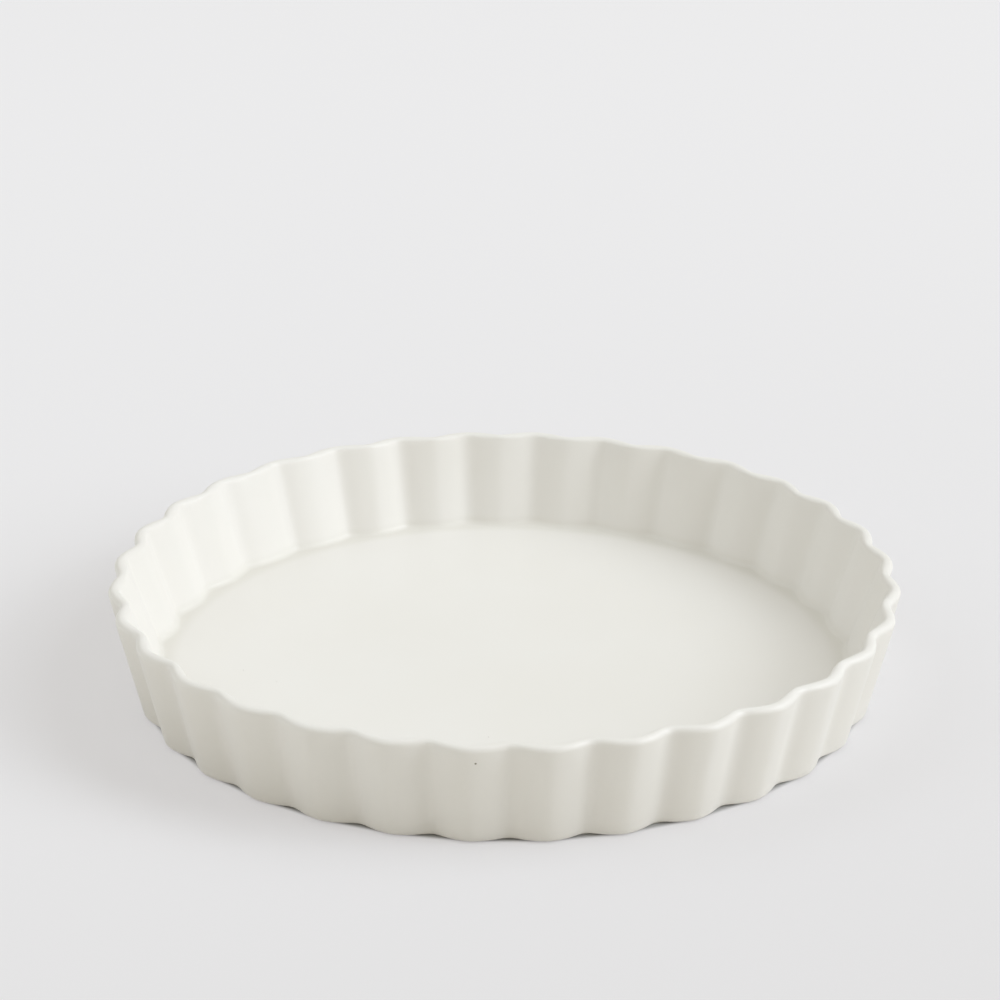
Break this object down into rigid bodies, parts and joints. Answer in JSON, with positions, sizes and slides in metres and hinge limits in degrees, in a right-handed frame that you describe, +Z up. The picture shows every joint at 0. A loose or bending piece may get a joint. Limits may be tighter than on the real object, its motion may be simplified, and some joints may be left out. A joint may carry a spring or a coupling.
{
  "type": "quiche dish",
  "caption": "Shallow round quiche dish in glazed ceramic, with a fluted wall that leans outwards, a rounded lip and a flat floor on a low foot ring.",
  "frame": {"origin": "centre of the foot ring's underside, on the surface that the dish stands on", "axes": "+Z up, out of the dish's mouth; a crest of the fluted wall stands on each of +X, +Y, -X and -Y"},
  "size_m": [0.2994, 0.2994, 0.0415],
  "materials": {
    "glazed_stoneware": "warm white glaze, satin to gloss"
  },
  "bodies": {
    "root": {"dish": "glazed_stoneware"}
  },
  "joints": []
}
